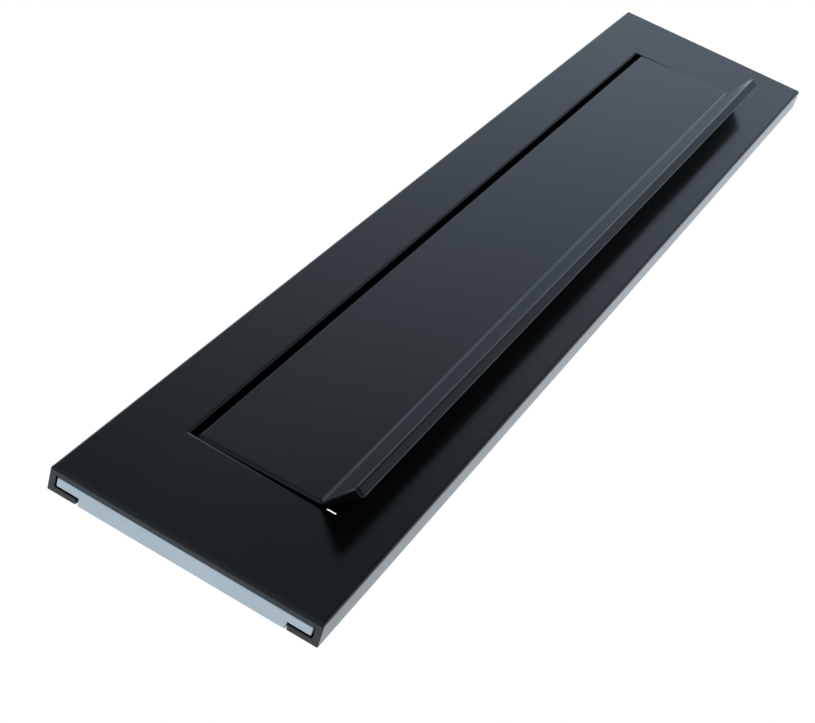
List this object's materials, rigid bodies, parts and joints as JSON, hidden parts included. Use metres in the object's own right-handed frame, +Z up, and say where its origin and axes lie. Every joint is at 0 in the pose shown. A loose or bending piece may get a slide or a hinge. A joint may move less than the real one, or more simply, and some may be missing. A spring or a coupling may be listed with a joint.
{
  "type": "letter plate",
  "caption": "Long black letter plate with a sprung, outward opening flap and a raised finger lip, on a shallow channel-shaped cover that fixes flat to a door.",
  "frame": {"origin": "middle of the upper return flange's back face, which meets the door", "axes": "+X along the plate, +Y into the door with the front facing -Y, +Z up with the hinge side uppermost"},
  "size_m": [0.4, 0.0196, 0.08],
  "materials": {
    "coated_cover": "satin",
    "coated_flap": "satin",
    "pale_block": "matte",
    "black_moulding": "matte",
    "black_rubber": "matte",
    "white_nylon": "satin",
    "plain_steel": "satin",
    "spring_steel": "satin",
    "brass": "satin"
  },
  "bodies": {
    "frame": {"face_plate": "coated_cover", "aperture_liner": "black_moulding", "end_block_left": "pale_block", "end_block_right": "pale_block", "hinge_rod": "plain_steel", "rod_clip_left": "spring_steel", "rod_clip_right": "spring_steel", "hinge_washer_left": "white_nylon", "hinge_washer_right": "white_nylon", "torsion_spring_left": "spring_steel", "torsion_spring_right": "spring_steel", "fixing_insert_left": "brass", "fixing_insert_right": "brass", "block_screw_left_top": "plain_steel", "block_screw_left_bottom": "plain_steel", "block_screw_right_top": "plain_steel", "block_screw_right_bottom": "plain_steel"},
    "flap": {"flap": "coated_flap", "flap_seal_strip": "black_rubber"}
  },
  "joints": [
    {"name": "flap_hinge", "type": "hinge", "parent": "frame", "child": "flap", "pos_m": [0, -0.0034, -0.0193], "axis": [-1, 0, 0], "range_deg": [0, 90], "deforming": ["torsion_spring_left", "torsion_spring_right"]}
  ]
}
